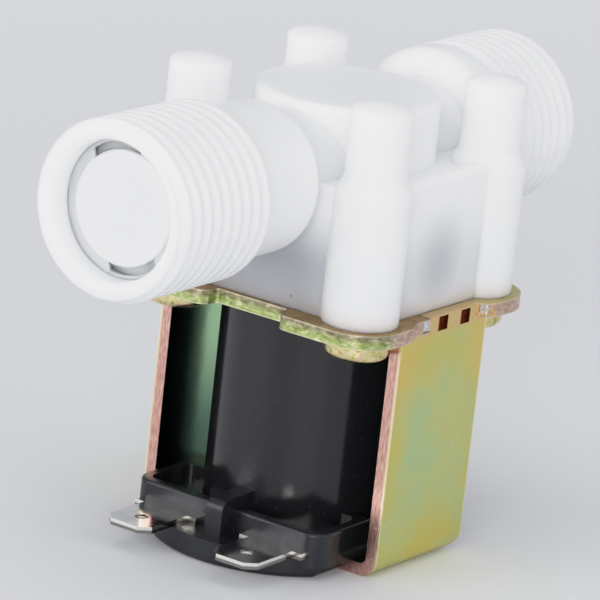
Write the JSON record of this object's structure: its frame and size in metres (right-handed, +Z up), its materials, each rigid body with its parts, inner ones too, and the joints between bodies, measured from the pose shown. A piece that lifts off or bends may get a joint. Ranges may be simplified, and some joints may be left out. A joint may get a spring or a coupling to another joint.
{
  "type": "solenoid valve",
  "caption": "Inline water solenoid valve: white threaded plastic body with screw bosses on a yellow steel yoke, a black coil and two spade terminals.",
  "frame": {"origin": "on the solenoid axis, at the underside of the yoke, where the valve stands", "axes": "+X along the flow from inlet to outlet, +Z up the solenoid axis from the coil to the body, +Y completes the right-handed set"},
  "size_m": [0.0794, 0.0368, 0.057],
  "materials": {
    "white_nylon": "milky translucent nylon, satin",
    "nylon_screen": "fine moulded nylon screen",
    "zinc_chromate_steel": "yellow zinc chromate, iridescent",
    "zinc_chromate_screw": "yellow zinc chromate, iridescent",
    "black_overmould": "glossy black glass-filled nylon",
    "bobbin_nylon": "natural moulded nylon",
    "copper_wire": "enamelled copper wire",
    "polyester_tape": "amber film",
    "tinned_brass": "bright tin plate over brass",
    "tube_nylon": "moulded acetal",
    "magnetic_stainless": "turned",
    "spring_steel": "drawn wire",
    "black_rubber": "matt"
  },
  "bodies": {
    "valve": {"valve_body": "white_nylon", "inlet_strainer": "white_nylon", "strainer_mesh": "nylon_screen", "yoke_plate": "zinc_chromate_steel", "yoke_bracket": "zinc_chromate_steel", "flux_cup": "zinc_chromate_steel", "cover_screws": "zinc_chromate_screw", "coil_overmould": "black_overmould", "coil_bobbin": "bobbin_nylon", "coil_winding": "copper_wire", "winding_tape": "polyester_tape", "winding_leads": "copper_wire", "terminal_front": "tinned_brass", "terminal_rear": "tinned_brass", "guide_tube": "tube_nylon", "plunger_spring": "spring_steel", "diaphragm": "black_rubber"},
    "armature": {"plunger": "magnetic_stainless", "plunger_seal": "black_rubber"},
    "pilot_disc": {"diaphragm_insert": "tube_nylon"}
  },
  "joints": [
    {"name": "plunger_travel", "type": "slide", "parent": "valve", "child": "armature", "axis": [0, 0, -1], "range_m": [0, 0.0022], "stiffness_N_per_m": 120, "springref_m": -0.004, "deforming": ["plunger_spring"]},
    {"name": "diaphragm_lift", "type": "slide", "parent": "valve", "child": "pilot_disc", "axis": [0, 0, -1], "range_m": [0, 0.0015], "deforming": ["diaphragm"]}
  ],
  "couplings": [
    {"joint": "diaphragm_lift", "follows": "plunger_travel", "ratio": 0.68}
  ]
}
